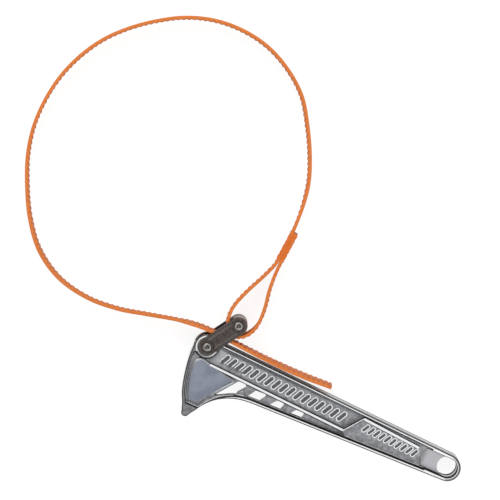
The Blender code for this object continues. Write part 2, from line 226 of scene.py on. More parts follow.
# How far the strap leans, in degrees, at some of the route's points: upper edge to its ribbed side
LEANS = {
    (0.1345, 0.0126): -1.0,
    (0.1050, 0.0111): -2.3,
    (0.0780, 0.0111): -2.0,
    (0.0560, 0.0119): -0.5,
    (0.0380, 0.0130): 0.0,
    (-0.0240, 0.0145): 1.0,
    (-0.0400, 0.0118): 4.2,
    (-0.1000, -0.0022): 3.0,
    (-0.1330, -0.0042): 3.0,
    (-0.1981, 0.0214): 0.2,
    (-0.2537, 0.1361): 0.6,
    (-0.2238, 0.2456): -2.0,
    (-0.0978, 0.3115): -3.2,
    (0.0026, 0.2492): -2.0,
    (0.0272, 0.1972): -1.0,
    (0.0334, 0.1480): 2.5,
    (0.0313, 0.1130): 3.0,
    (0.0240, 0.0880): 3.5,
    (0.0099, 0.0530): 3.0,
    (0.0096, 0.0312): 0.3,
    (0.0210, 0.0210): 0.0,
    (0.0342, 0.0286): -0.8,
    (0.0396, 0.0500): -4.0,
    (0.0383, 0.0640): -3.5,
    (0.0366, 0.1320): -3.0,
}
STRAP_HALF_WIDTH = 0.0127
STRAP_HALF = 0.00165
STRAP_CORNER = 0.0006  # how far the edges' rounding reaches in
RIB_PITCH = 0.00565
RIB_HEIGHT = 0.0009
RIB_POWER = 0.7  # below 1, which makes the ribs broader than the grooves
RIBBED_FROM = 2 * (STRAP_HALF_WIDTH + 0.0016)  # round the section, from one edge over the plain face
STATIONS_PER_RIB = 8
WARP_PITCH = 0.00110
WEFT_PITCH = 0.00130

# Stitches through the block
BLOCK_START = (0.0333, 0.1150)
BLOCK_END = (0.0352, 0.1385)
BLOCK_HALF = 0.0035
BLOCK_LEAN = math.radians(3.0)
STITCH_ROWS = 7
STITCHES_IN_ROW = 8
STITCH_RADIUS = 0.00042
STITCH_RISE = 0.0004  # of its axis above the block's face
STITCH_FILL = 0.46  # half its length, as a share of the distance to the next one

MITRE_LIMIT = 0.4  # so that a sharp corner moves by no more than 1 / 0.4 times the growth

# Studio
FLOOR_HALF = 4.0
FLOOR_GAP = 0.0005  # below the part, so that no faces coincide
LIGHT_AIM = (0.0, 0.08, 0.0)
WORLD_STRENGTH = 0.42


# ---------------------------------------------------------------- outlines and solids


def arc(centre, radius, start, end, steps):
    """Points along an arc, angles in degrees."""
    turn = [math.radians(start + (end - start) * i / steps) for i in range(steps + 1)]
    return [(centre[0] + radius * math.cos(a), centre[1] + radius * math.sin(a)) for a in turn]


def smooth(points, spacing):
    """Points about spacing apart on a centripetal curve, one list for each given pair."""
    given = [Vector(p) for p in points]
    ends = [2 * given[0] - given[1], *given, 2 * given[-1] - given[-2]]
    runs = []
    for before, start, end, after in zip(ends, ends[1:], ends[2:], ends[3:]):
        k0 = math.sqrt((start - before).length)
        k1 = math.sqrt((end - start).length)
        k2 = math.sqrt((after - end).length)
        leave = (start - before) * (k1 / k0) - (end - before) * (k1 / (k0 + k1)) + (end - start)
        arrive = (end - start) - (after - start) * (k1 / (k1 + k2)) + (after - end) * (k1 / k2)
        steps = max(1, round((end - start).length / spacing))
        run = []
        for i in range(steps + 1):
            t = i / steps
            a = start * (2 * t**3 - 3 * t**2 + 1) + leave * (t**3 - 2 * t**2 + t)
            run.append(a + end * (3 * t**2 - 2 * t**3) + arrive * (t**3 - t**2))
        runs.append(run)
    return runs


def through(points, spacing):
    """One list of points on the smooth curve through the given ones."""
    runs = smooth(points, spacing)
    return [tuple(p) for run in runs for p in run[:-1]] + [tuple(runs[-1][-1])]


def rounded(corners, radius, steps=4):
    """The corners of an outline, each replaced by a short curve."""
    made = []
    count = len(corners)
    for i in range(count):
        here = Vector(corners[i])
        back = (Vector(corners[i - 1]) - here).normalized() * radius
        ahead = (Vector(corners[(i + 1) % count]) - here).normalized() * radius
        for k in range(steps + 1):
            t = k / steps
            made.append(tuple(here + back * (1 - t) ** 2 + ahead * t**2))
    return made


def anticlockwise(points):
    area = sum(a[0] * b[1] - b[0] * a[1] for a, b in zip(points, points[1:] + points[:1]))
    return list(points) if area > 0 else list(reversed(points))


def grown(points, amount):
    """An anticlockwise outline moved outwards by an amount, with mitred corners."""
    made = []
    count = len(points)
    for i in range(count):
        here = Vector(points[i])
        a = (here - Vector(points[i - 1])).normalized()
        b = (Vector(points[(i + 1) % count]) - here).normalized()
        side = Vector((a.y + b.y, -a.x - b.x)).normalized()
        reach = max(MITRE_LIMIT, side.dot(Vector((b.y, -b.x))))
        made.append(here + side * (amount / reach))
    return made


def solid(work, points, sections):
    """Adds to a bmesh a closed solid: the outline at each (height, growth), bottom to top."""
    outline = anticlockwise(points)
    rings = []
    for height, growth in sections:
        rings.append([work.verts.new((x, y, height)) for x, y in grown(outline, growth)])
    count = len(outline)
    for low, high in zip(rings, rings[1:]):
        for i in range(count):
            j = (i + 1) % count
            work.faces.new((low[i], low[j], high[j], high[i]))
    work.faces.new(list(reversed(rings[0])))
    work.faces.new(rings[-1])


def object_of(name, work):
    mesh = bpy.data.meshes.new(name)
    work.normal_update()
    work.to_mesh(mesh)
    work.free()
    made = bpy.data.objects.new(name, mesh)
    bpy.context.scene.collection.objects.link(made)
    return made


def feature(name, outlines, sections):
    """An object of one or more solids that share their sections."""
    work = bmesh.new()
    for outline in outlines:
        solid(work, outline, sections)
    return object_of(name, work)


def mirrored(sections, level):
    """The same sections on the other side of a level, again from bottom to top."""
    return [(2 * level - height, growth) for height, growth in reversed(sections)]


def both_sides(name, outlines, sections):
    """A feature above the mid-plane and its twin below it, as one object."""
    work = bmesh.new()
    for outline in outlines:
        solid(work, outline, sections)
        solid(work, outline, mirrored(sections, MID))
    return object_of(name, work)


def level(*pairs):
    """Sections given as heights above the mid-plane."""
    return [(MID + height, growth) for height, growth in pairs]


def through_level(*pairs):
    """Sections of the upper half, completed by their mirror image below the mid-plane."""
    upper = level(*pairs)
    return mirrored(upper, MID) + upper


def combine(target, tools):
    """Booleans on the target, in order, applied at once. The tools are removed."""
    for tool, operation in tools:
        change = target.modifiers.new(tool.name, "BOOLEAN")
        change.operation = operation
        change.solver = "EXACT"
        change.object = tool
    bpy.context.view_layer.update()
    graph = bpy.context.evaluated_depsgraph_get()
    mesh = bpy.data.meshes.new_from_object(target.evaluated_get(graph))
    target.modifiers.clear()
    target.data = mesh
    for tool, _ in tools:
        bpy.data.objects.remove(tool, do_unlink=True)
    return target


def shade(made, degrees):
    """Smooth shading with sharp edges past an angle, and faces square to the pins kept flat."""
    made.data.shade_smooth()
    for face in made.data.polygons:
        face.use_smooth = abs(face.normal.z) < 0.9999
    made.data.set_sharp_from_angle(angle=math.radians(degrees))
    weighted = made.modifiers.new("normals", "WEIGHTED_NORMAL")
    weighted.keep_sharp = True
    weighted.weight = 60
    return made


# ---------------------------------------------------------------- materials


class Finish:
    """A material and short ways to add nodes to it."""

    def __init__(self, name):
        self.material = bpy.data.materials.new(name)
        self.material.use_nodes = True
        self.tree = self.material.node_tree
        self.shader = self.tree.nodes["Principled BSDF"]

    def set(self, socket, value):
        self.shader.inputs[socket].default_value = value

    def node(self, kind, settings=None, **inputs):
        made = self.tree.nodes.new(kind)
        for name, value in (settings or {}).items():
            setattr(made, name, value)
        for name, value in inputs.items():
            self.feed(made.inputs[name.replace("_", " ")], value)
        return made

    def feed(self, socket, value):
        if isinstance(value, bpy.types.NodeSocket):
            self.tree.links.new(value, socket)
        else:
            socket.default_value = value

    def math(self, operation, first, second=0.0, clamp=False):
        made = self.node("ShaderNodeMath", {"operation": operation, "use_clamp": clamp})
        self.feed(made.inputs[0], first)
        self.feed(made.inputs[1], second)
        return made.outputs[0]

    def step(self, value, low, high):
        """0 below low and 1 above high, smooth between them."""
        made = self.node("ShaderNodeMapRange", {"interpolation_type": "SMOOTHSTEP", "clamp": True})
        for name, number in (("Value", value), ("From Min", low), ("From Max", high)):
            self.feed(made.inputs[name], number)
        return made.outputs[0]

    def between(self, value, low, high):
        """A value from 0 to 1 spread over a range."""
        made = self.node("ShaderNodeMapRange")
        for name, number in (("Value", value), ("To Min", low), ("To Max", high)):
            self.feed(made.inputs[name], number)
        return made.outputs[0]

    def times(self, *masks):
        """The product of masks or numbers, which is 1 where all the masks overlap."""
        made = masks[0]
        for mask in masks[1:]:
            made = self.math("MULTIPLY", made, mask)
        return made

    def rest(self, mask):
        """Where the mask isn't."""
        return self.math("SUBTRACT", 1.0, mask)

    def above(self, value, limit):
        return self.math("GREATER_THAN", value, limit)

    def below(self, value, limit):
        return self.math("LESS_THAN", value, limit)

    def wave(self, value, pitch, kind="SINE"):
        return self.math(kind, self.math("MULTIPLY", value, 2 * math.pi / pitch))

    def distance(self, x, y, centre):
        """Distance from an axis along Z."""
        dx = self.math("SUBTRACT", x, centre[0])
        dy = self.math("SUBTRACT", y, centre[1])
        return self.math("SQRT", self.math("ADD", self.times(dx, dx), self.times(dy, dy)))

    def mix(self, amount, first, second):
        made = self.node("ShaderNodeMix", {"data_type": "RGBA"})
        self.feed(made.inputs[0], amount)
        self.feed(made.inputs[6], (*first, 1.0) if isinstance(first, tuple) else first)
        self.feed(made.inputs[7], (*second, 1.0) if isinstance(second, tuple) else second)
        return made.outputs[2]

    def coats(self, colour, *layers):
        """The colour under layers of others, each given as (mask, share, colour)."""
        for mask, share, other in layers:
            colour = self.mix(self.times(mask, share), colour, other)
        return colour

    def position(self):
        return self.node("ShaderNodeTexCoord").outputs["Object"]

    def parts(self, vector):
        return self.node("ShaderNodeSeparateXYZ", Vector=vector).outputs

    def stretched(self, vector, scale):
        return self.node("ShaderNodeMapping", Vector=vector, Scale=scale).outputs[0]

    def noise(self, vector, scale, detail=3.0, roughness=0.55):
        made = self.node("ShaderNodeTexNoise", Vector=vector, Scale=scale, Detail=detail, Roughness=roughness)
        return made.outputs["Fac"]

    def edges(self, low, high):
        """0 up to low and 1 from high, by how convex the surface is; a flat one counts as 0.5."""
        return self.step(self.node("ShaderNodeNewGeometry").outputs["Pointiness"], low, high)

    def facing_up(self):
        """1 where the surface faces along the pins, 0 on walls."""
        normal = self.parts(self.node("ShaderNodeNewGeometry").outputs["Normal"])[2]
        return self.math("ABSOLUTE", normal)

    def bump(self, height, distance, strength=1.0):
        made = self.node("ShaderNodeBump", Strength=strength, Distance=distance, Height=height)
        self.tree.links.new(made.outputs[0], self.shader.inputs["Normal"])


def put(made, finish):
    made.data.materials.clear()
    made.data.materials.append(finish.material)


def cast_aluminium():
    """Bright lands and ribs, walls with a painted reflection that is dark away from the mid-plane and lighter
    at it, satin recesses, and painted shade and highlights round the strap, the boss, the pad, the fillets
    and the corners.
    """
    f = Finish("cast_aluminium_skin")
    place = f.position()
    x, y, z = f.parts(place)
    height = f.math("ABSOLUTE", f.math("SUBTRACT", z, MID))
    reach = f.distance(x, y, (0.0, 0.0))
    ring = f.distance(x, y, (TAIL_X, TAIL_Y))

    # Which way a surface faces
    up = f.facing_up()
    flat = f.step(up, 0.80, 0.98)
    wall = f.rest(f.step(up, 0.20, 0.45))
    slope = f.times(f.rest(flat), f.rest(wall))

    # Flanges: flat lands, bevelled edges with a painted dark reflection, and walls with a painted reflection
    # that is darker away from the mid-plane
    rim = f.step(height, FLANGE_HALF - 0.0010, FLANGE_HALF - 0.0009)
    land = f.times(rim, flat)
    # Painted reflection: the flanges' bevels are painted near-black.
    bevel_dark_reflection = f.times(rim, slope)
    # Painted reflection: walls away from the mid-plane get a dark specular tint, which dims what they
    # reflect.
    reflection_dimmed_walls = f.times(wall, f.step(height, 0.0030, 0.0055))
    # Painted shadow: the top wall under the strap's tail is painted near-black.
    strap_shadow = f.times(wall, f.above(y, 0.0030), f.above(x, 0.0150), f.rest(f.step(x, 0.110, 0.135)))
    middle = f.step(f.math("ADD", x, f.times(y, 0.55)), -0.008, 0.018)
    tail_end = f.step(f.math("SUBTRACT", x, TAIL_X), -0.001, 0.006)
    ring_rim = f.times(f.step(ring, HANG_RADIUS + 0.0008, HANG_RADIUS + 0.0016), tail_end)

    # Raised parts of the web: ribs, the heel's pad with its sloping border, and the grip bars
    rib_top = f.step(height, PAD_HALF + 0.0001, PAD_HALF + 0.0003)
    below_rib = f.below(height, PAD_HALF + 0.0005)
    raised = f.times(rib_top, below_rib, flat)
    pad_high = f.step(height, PAD_HALF - 0.0006, PAD_HALF - 0.0001)
    pad_top = f.times(pad_high, below_rib, flat, f.rest(rib_top))
    heel = f.times(f.below(x, 0.0450), f.below(y, -0.0100))
    under_rib = f.below(f.math("ADD", y, f.times(x, 0.19)), -0.0165)
    # Painted highlight: the pad's sloping border is painted near-white and made mostly non-metallic, so that
    # it reads as a lit slope.
    border_highlight = f.times(f.step(height, WEB_HALF + 0.0004, WEB_HALF + 0.0008), f.below(height, PAD_HALF))
    border_highlight = f.times(border_highlight, f.rest(flat), heel, under_rib)
    bar_top = f.times(f.step(height, WEB_HALF + 0.0009, WEB_HALF + 0.0013), f.below(height, 0.0060), flat)
    bar_foot = f.times(f.above(height, WEB_HALF + 0.00025), f.below(height, WEB_HALF + 0.0008))
    bar_foot = f.times(bar_foot, flat, f.rest(heel))

    # Round the boss painted light and a painted highlight, in the tail's pocket, on worn edges, painted shade
    # in corners and painted highlights on the fillets
    # Painted light: the recess floor and fillets round the boss are painted lighter.
    boss_skirt_light = f.times(f.rest(f.step(reach, 0.0180, 0.0270)), f.below(height, 0.0110), f.rest(pad_top))
    # Painted highlight: a bright ring along the boss's top edge.
    boss_highlight = f.step(reach, BOSS_RADIUS - 0.0011, BOSS_RADIUS - 0.0009)
    boss_highlight = f.times(f.above(height, 0.0105), boss_highlight, f.below(reach, BOSS_RADIUS + 0.0003))
    tail = f.times(f.below(height, 0.0026), f.above(x, 0.2400))
    worn = f.times(f.edges(0.515, 0.56), f.rest(f.math("MAXIMUM", rim, flat)))
    # Painted shade: concave corners are painted darker.
    hollow = f.rest(f.edges(0.44, 0.485))
    # Painted highlight: the fillets round the floor of the pocket are painted near-white, as lit slopes.
    fillet_highlight = f.times(f.above(height, WEB_HALF + 0.0001), f.below(height, WEB_HALF + 0.0010))
    fillet_highlight = f.times(fillet_highlight, slope, f.rest(heel))

    mottle = f.noise(place, 260.0, 4.0)
    patches = f.noise(place, 70.0)
    fine = f.noise(place, 2600.0, 5.0, 0.7)
    brushed = f.noise(f.stretched(place, (60.0, 2600.0, 600.0)), 1.0, 4.0)
    recess = f.mix(f.step(mottle, 0.30, 0.72), (0.190, 0.190, 0.200), (0.360, 0.360, 0.372))
    recess = f.coats(recess, (f.step(fine, 0.50, 0.75), 0.40, (0.11, 0.11, 0.115)))
    pad = f.mix(f.step(patches, 0.35, 0.65), (0.170, 0.187, 0.232), (0.225, 0.243, 0.290))
    bright = f.mix(f.step(brushed, 0.35, 0.65), (0.62, 0.62, 0.62), (0.80, 0.80, 0.79))
    dull = f.mix(f.step(mottle, 0.35, 0.65), (0.130, 0.130, 0.133), (0.200, 0.200, 0.202))
    # Painted reflection on the walls: light near the mid-plane, near-black towards the flanges' faces.
    side = f.mix(f.step(height, 0.0035, 0.0070), (0.38, 0.38, 0.375), (0.055, 0.055, 0.058))
    lands = f.coats(f.mix(middle, dull, bright), (ring_rim, 0.85, (0.090, 0.090, 0.092)))
    colour = f.coats(
        f.mix(pad_top, recess, pad),
        (tail, 0.90, (0.400, 0.395, 0.410)),
        # painted light round the boss
        (boss_skirt_light, 0.75, (0.46, 0.46, 0.47)),
        (bar_top, 0.90, (0.085, 0.085, 0.090)),
        (bar_foot, 0.95, (0.86, 0.86, 0.87)),
        (raised, 0.95, (0.72, 0.72, 0.73)),
        (land, 0.95, lands),
        # painted reflection on the walls
        (wall, 0.95, side),
        (worn, 0.60, (0.80, 0.80, 0.79)),
        # painted dark reflection on the bevels
        (bevel_dark_reflection, 0.90, (0.040, 0.040, 0.043)),
        # painted highlight on the boss's edge
        (boss_highlight, 0.85, (0.80, 0.80, 0.79)),
        # painted shadow under the strap's tail
        (strap_shadow, 0.80, (0.050, 0.046, 0.042)),
        # painted shade in concave corners
        (hollow, 0.65, (0.055, 0.055, 0.060)),
        # painted highlight on the fillets
        (fillet_highlight, 0.75, (0.86, 0.86, 0.86)),
        # painted highlight on the pad's border
        (border_highlight, 0.90, (0.900, 0.920, 0.950)),
    )
    f.feed(f.shader.inputs["Base Color"], colour)
    # Painted highlight: the pad's border is mostly non-metallic, so that it lights up white.
    f.feed(f.shader.inputs["Metallic"], f.rest(f.times(border_highlight, 0.80)))
    # Painted reflection: a dark specular tint on the walls away from the mid-plane.
    f.feed(f.shader.inputs["Specular Tint"], f.mix(reflection_dimmed_walls, (1.0, 1.0, 1.0), (0.10, 0.10, 0.10)))

    polished = f.math("MAXIMUM", land, raised)
    smoothness = f.math("MAXIMUM", polished, f.times(f.math("MAXIMUM", pad_top, tail), 0.8))
    rough = f.math("ADD", f.between(fine, 0.34, 0.55), f.times(smoothness, -0.16))
    f.feed(f.shader.inputs["Roughness"], f.math("ADD", rough, f.between(brushed, -0.03, 0.05), clamp=True))
    grain = f.times(fine, f.between(smoothness, 1.0, 0.15))
    scratch = f.times(brushed, polished, 0.35)
    f.bump(f.math("ADD", f.math("ADD", grain, scratch), f.times(mottle, 0.4)), 0.00012, 0.75)
    return f


def blackened_steel():
    """Brown-black oxide with a slight mottle, rubbed along the edges, with the inner faces painted light
    round the eye as a painted reflection and near-black elsewhere as painted shade.
    """
    f = Finish("blackened_steel_skin")
    f.set("Metallic", 1.0)
    place = f.position()
    x, y, z = f.parts(place)
    height = f.math("ABSOLUTE", f.math("SUBTRACT", z, MID))
    # Painted reflection and shade on the plates' inner faces: light round the eye, near-black elsewhere.
    inner_face_light_and_shade = f.times(f.below(height, FLANGE_HALF + 0.0008), f.step(f.facing_up(), 0.5, 0.9))
    off_eye = f.step(f.distance(x, y, ANCHOR), PLATE_RADIUS + 0.0002, PLATE_RADIUS + 0.0014)
    mottle = f.noise(place, 420.0, 5.0, 0.62)
    fine = f.noise(place, 3200.0, 4.0, 0.6)
    colour = f.coats(
        f.mix(f.step(mottle, 0.32, 0.68), (0.044, 0.036, 0.032), (0.090, 0.075, 0.068)),
        (f.step(fine, 0.55, 0.75), 0.4, (0.035, 0.030, 0.028)),
        (f.edges(0.52, 0.58), 0.40, (0.24, 0.225, 0.21)),
        # painted reflection round the eye and painted shade elsewhere on the inner faces
        (inner_face_light_and_shade, 0.8, f.mix(off_eye, (0.60, 0.58, 0.56), (0.020, 0.018, 0.017))),
    )
    f.feed(f.shader.inputs["Base Color"], colour)
    rough = f.math("ADD", f.between(mottle, 0.30, 0.48), f.between(fine, -0.05, 0.08))
    f.feed(f.shader.inputs["Roughness"], rough)
    f.bump(f.math("ADD", fine, f.times(mottle, 0.8)), 0.00008, 0.6)
    return f


def turned_steel(name, centres, light, dark):
    """Plain steel with fine turning rings round each of the given vertical axes, and painted shade in the
    dimples at their upper ends.
    """
    f = Finish(name)
    f.set("Metallic", 1.0)
    place = f.position()
    x, y, z = f.parts(place)
    radius = f.math("MINIMUM", *(f.distance(x, y, centre) for centre in centres))
    rings = f.wave(f.math("ADD", radius, z), 0.00022)
    mottle = f.noise(place, 900.0, 4.0)
    # Painted shade: the dimple in the rivet's rolled end is painted near-black.
    dimple = f.rest(f.step(radius, 0.0019, 0.0026))
    top = f.step(f.math("ABSOLUTE", f.math("SUBTRACT", z, MID)), 0.0150, 0.0160)
    colour = f.coats(
        f.mix(f.step(mottle, 0.35, 0.70), dark, light),
        # painted shade in the dimple
        (f.times(dimple, top, f.above(z, MID)), 0.8, (0.05, 0.045, 0.04)),
        (f.edges(0.52, 0.58), 0.45, (0.66, 0.65, 0.63)),
    )
    f.feed(f.shader.inputs["Base Color"], colour)
    f.feed(f.shader.inputs["Roughness"], f.between(mottle, 0.24, 0.42))
    f.bump(f.math("ADD", f.times(rings, 0.4), mottle), 0.00006, 0.5)
    return f


def woven_webbing():
    """Stiff orange webbing. U runs along the strap and V round its section, both in metres."""
    f = Finish("woven_webbing")
    u, v, _ = f.parts(f.node("ShaderNodeUVMap", {"uv_map": "along_across"}).outputs[0])
    warp = f.wave(v, WARP_PITCH)
    weave = f.times(warp, f.wave(u, WEFT_PITCH))
    place = f.position()
    x, y, z = f.parts(place)
    mottle = f.noise(place, 110.0, 4.0)
    fuzz = f.noise(f.stretched(place, (1.0, 1.0, 3.0)), 2600.0, 5.0, 0.7)

    ribbed = f.step(v, RIBBED_FROM, RIBBED_FROM + 0.0008)
    # Painted shade in the grooves between the ribs, strongest on the ribbed face.
    groove_shade = f.step(f.wave(u, RIB_PITCH, "COSINE"), 0.1, -0.95)
    off_middle = f.math("ABSOLUTE", f.math("SUBTRACT", z, MID))
    # Painted highlight: bands along both edges of the strap are painted brighter.
    edge_band_highlight = f.step(off_middle, STRAP_HALF_WIDTH - 0.0016, STRAP_HALF_WIDTH - 0.0006)
    sewn = f.times(f.step(y, BLOCK_START[1] - 0.004, BLOCK_START[1]), f.below(y, BLOCK_END[1] + 0.003))
    sewn = f.times(sewn, f.above(x, 0.0), f.below(x, 0.06))
    cut_end = f.below(u, 0.0012)
    colour = f.coats(
        f.mix(f.step(mottle, 0.30, 0.72), (0.560, 0.138, 0.026), (0.680, 0.188, 0.038)),
        # painted shade in the grooves
        (groove_shade, f.between(ribbed, 0.08, 0.50), (0.380, 0.085, 0.016)),
        # painted highlight along the strap's edges
        (edge_band_highlight, 0.75, (0.800, 0.215, 0.042)),
        (f.step(weave, 0.1, 0.9), 0.25, (0.860, 0.300, 0.090)),
        (f.step(fuzz, 0.55, 0.8), 0.40, (0.430, 0.105, 0.024)),
        (sewn, 0.75, (0.740, 0.155, 0.018)),
        (cut_end, 0.6, (0.360, 0.100, 0.030)),
    )
    f.feed(f.shader.inputs["Base Color"], colour)
    f.feed(f.shader.inputs["Roughness"], f.between(fuzz, 0.60, 0.88))
    f.set("Specular IOR Level", 0.30)
    f.set("Sheen Weight", 0.06)
    f.set("Sheen Roughness", 0.45)
    f.set("Sheen Tint", (1.0, 0.62, 0.35, 1.0))
    threads = f.math("ADD", f.times(weave, 0.5), f.times(f.math("ABSOLUTE", warp), 0.6))
    f.bump(f.math("ADD", threads, f.times(fuzz, 0.8)), 0.00016, 0.8)
    return f


def sewing_thread():
    """Twisted thread: darker orange, with fine slanted plies."""
    f = Finish("sewing_thread")
    place = f.position()
    x, _, z = f.parts(place)
    plies = f.wave(f.math("ADD", z, f.times(x, 1.5)), 0.0006)
    fuzz = f.noise(place, 3200.0, 3.0)
    colour = f.mix(f.step(plies, -0.6, 0.8), (0.42, 0.060, 0.008), (0.80, 0.150, 0.018))
    f.feed(f.shader.inputs["Base Color"], colour)
    f.feed(f.shader.inputs["Roughness"], f.between(fuzz, 0.60, 0.85))
    f.bump(f.math("ADD", plies, fuzz), 0.00010, 0.8)
    return f


def pale_floor():
    """A white table lit faintly from inside, as product photographs use against hard shadows."""
    f = Finish("pale_floor")
    grain = f.noise(f.position(), 60.0, 3.0)
    f.feed(f.shader.inputs["Base Color"], f.mix(grain, (0.20, 0.20, 0.20), (0.22, 0.22, 0.22)))
    f.set("Emission Color", (1.0, 1.0, 1.0, 1.0))
    f.set("Emission Strength", 0.86)
    f.set("Roughness", 0.9)
    f.set("Specular IOR Level", 0.1)
    return f


# ---------------------------------------------------------------- handle


def handle_outline():
    """Round the nose, along the top flange, round the tail, and back by neck, tip and heel."""
    top = arc((0.0, 0.0), NOSE_RADIUS, 180, 52, 26)
    shoulder = through([top[-1], (0.0110, 0.0086), (0.0160, HEAD_TOP)], 0.0012)[1:]
    tail = arc((TAIL_X, TAIL_Y), TAIL_RADIUS, 88, -88, 34)
    tip = arc(TIP, TIP_RADIUS, -35, -190, 12)
    return top + shoulder + tail + through(NECK, 0.003)[:-1] + tip + through(HEEL, 0.004)[1:-1]


def pocket_outline():
    """The main pocket: inside the rim, from the heel to the tail."""
    right = TAIL_X - POCKET_TO_HOLE
    top = [(0.0135, HEAD_TOP - FLANGE), (right, TAIL_Y + TAIL_RADIUS - FLANGE + TAIL_DROP)]
    bottom = [(right, TAIL_Y - TAIL_RADIUS + FLANGE)]
    return top + bottom + through(NECK_INNER, 0.004) + through(HEEL_INNER, 0.005) + [(0.0, -0.006)]


def tail_pocket_outline():
    """The deeper tail pocket: a curved wall on the left, open to the hang hole."""
    half = HANG_RADIUS - 0.0001
    left = TAIL_X - TAIL_POCKET_TO_HOLE
    wall = through([(left, TAIL_Y - half), (left - TAIL_WALL_BOW, TAIL_Y), (left, TAIL_Y + half)], 0.002)
    return [(TAIL_X, TAIL_Y + half), (TAIL_X, TAIL_Y - half)] + wall


def bar_outline(start, end, width):
    along = Vector(end) - Vector(start)
    side = Vector((-along.y, along.x)).normalized() * width / 2
    a, b = Vector(start), Vector(end)
    return rounded([tuple(p) for p in (a - side, b - side, b + side, a + side)], width * 0.3, 3)


def grip_bar_outlines():
    """Slanted bars with round ends, evenly spaced along each panel."""
    made = []
    for count, first, last, tall, width in GRIP_BARS:
        lean = Vector((math.cos(BAR_SLANT), math.sin(BAR_SLANT))) * (tall - width) / 2
        for i in range(count):
            middle = Vector(first).lerp(Vector(last), i / (count - 1))
            degrees = math.degrees(BAR_SLANT)
            ends = arc(middle + lean, width / 2, degrees - 90, degrees + 90, 6)
            ends += arc(middle - lean, width / 2, degrees + 90, degrees + 270, 6)
            made.append(ends)
    return made


def make_handle(finish):
    body = through_level((FLANGE_HALF - 0.0011, 0.0), (FLANGE_HALF, -0.0012))
    handle = feature("handle_casting", [handle_outline()], body)
    pocket = level(
        (WEB_HALF, -0.0016),
        (WEB_HALF + 0.0003, -0.0008),
        (WEB_HALF + 0.0009, -0.00025),
        (WEB_HALF + 0.0024, 0.0),
        (FLANGE_HALF - 0.0009, 0.0001),
        (FLANGE_HALF + 0.0008, 0.0016),
    )
    channel = level((CHANNEL_HALF, -0.0008), (CHANNEL_HALF + 0.0003, -0.0002), (WEB_HALF + 0.0004, 0.0002))
    tail = level(
        (TAIL_WEB_HALF, -0.0012),
        (TAIL_WEB_HALF + 0.0003, -0.0005),
        (TAIL_WEB_HALF + 0.0010, 0.0),
        (FLANGE_HALF - 0.0008, 0.0001),
        (FLANGE_HALF + 0.0008, 0.0014),
    )
    pad = through_level(
        (WEB_HALF - 0.0008, 0.0008),
        (WEB_HALF + 0.0003, 0.0004),
        (PAD_HALF - 0.0014, -0.0001),
        (PAD_HALF, -0.0026),
    )
    rib = through_level(
        (WEB_HALF - 0.0006, 0.0005),
        (PAD_HALF - 0.0002, 0.0001),
        (PAD_HALF + 0.0003, -0.0003),
    )
    bar_feet = level((WEB_HALF - 0.0005, 0.0012), (WEB_HALF + 0.0002, 0.0011), (WEB_HALF + 0.0004, 0.0009))
    bars = level((WEB_HALF - 0.0005, 0.0000), (WEB_HALF + 0.0012, -0.0001), (WEB_HALF + 0.0015, -0.0004))
    boss = through_level(
        (WEB_HALF, 0.0026),
        (0.0078, 0.0011),
        (BOSS_HALF - 0.0012, 0.0),
        (BOSS_HALF - 0.0006, -0.0001),
        (BOSS_HALF, -0.0008),
    )
    window = through_level(
        (0.0022, 0.0),
        (CHANNEL_HALF - 0.0004, 0.0001),
        (CHANNEL_HALF + 0.0001, 0.0005),
        (0.0060, 0.0008),
    )
    hole = through_level(
        (FLANGE_HALF - 0.0010, 0.0),
        (FLANGE_HALF - 0.0003, 0.0003),
        (FLANGE_HALF + 0.0006, 0.0012),
    )
    bore = through_level((BOSS_HALF - 0.0005, 0.0), (BOSS_HALF + 0.0010, 0.0010))
    ribs = [bar_outline(start, end, width) for start, end, width in RIBS]
    boss_circle = arc(PIVOT, BOSS_RADIUS, 0, 355, 71)
    hang_circle = arc((TAIL_X, TAIL_Y), HANG_RADIUS, 0, 355, 71)
    combine(
        handle,
        [
            (both_sides("pocket", [pocket_outline()], pocket), "DIFFERENCE"),
            (both_sides("channel", [CHANNEL], channel), "DIFFERENCE"),
            (both_sides("tail_pocket", [tail_pocket_outline()], tail), "DIFFERENCE"),
            (feature("pad", [rounded(PAD, PAD_CORNER, 6)], pad), "UNION"),
            (feature("rib", ribs[:1], rib), "UNION"),
            (feature("thin_rib", ribs[1:2], rib), "UNION"),
            (feature("top_rib", ribs[2:], rib), "UNION"),
            (both_sides("bar_feet", grip_bar_outlines(), bar_feet), "UNION"),
            (both_sides("bars", grip_bar_outlines(), bars), "UNION"),
            (feature("boss", [boss_circle], boss), "UNION"),
            (feature("windows", [rounded(w, WINDOW_CORNER) for w in WINDOWS], window), "DIFFERENCE"),
            (feature("hang_hole", [hang_circle], hole), "DIFFERENCE"),
            (feature("bore", [arc(PIVOT, BORE_RADIUS, 0, 350, 35)], bore), "DIFFERENCE"),
        ],
    )
    put(shade(handle, 32), finish)
    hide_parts("handle")
    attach(handle, "handle")


# ---------------------------------------------------------------- link


def stadium(radius, steps=24):
    """Round the anchor's end and then the pivot's end of the link."""
    ends = arc(ANCHOR, radius, LINK_TURN - 90, LINK_TURN + 90, steps)
    return ends + arc(PIVOT, radius, LINK_TURN + 90, LINK_TURN + 270, steps)


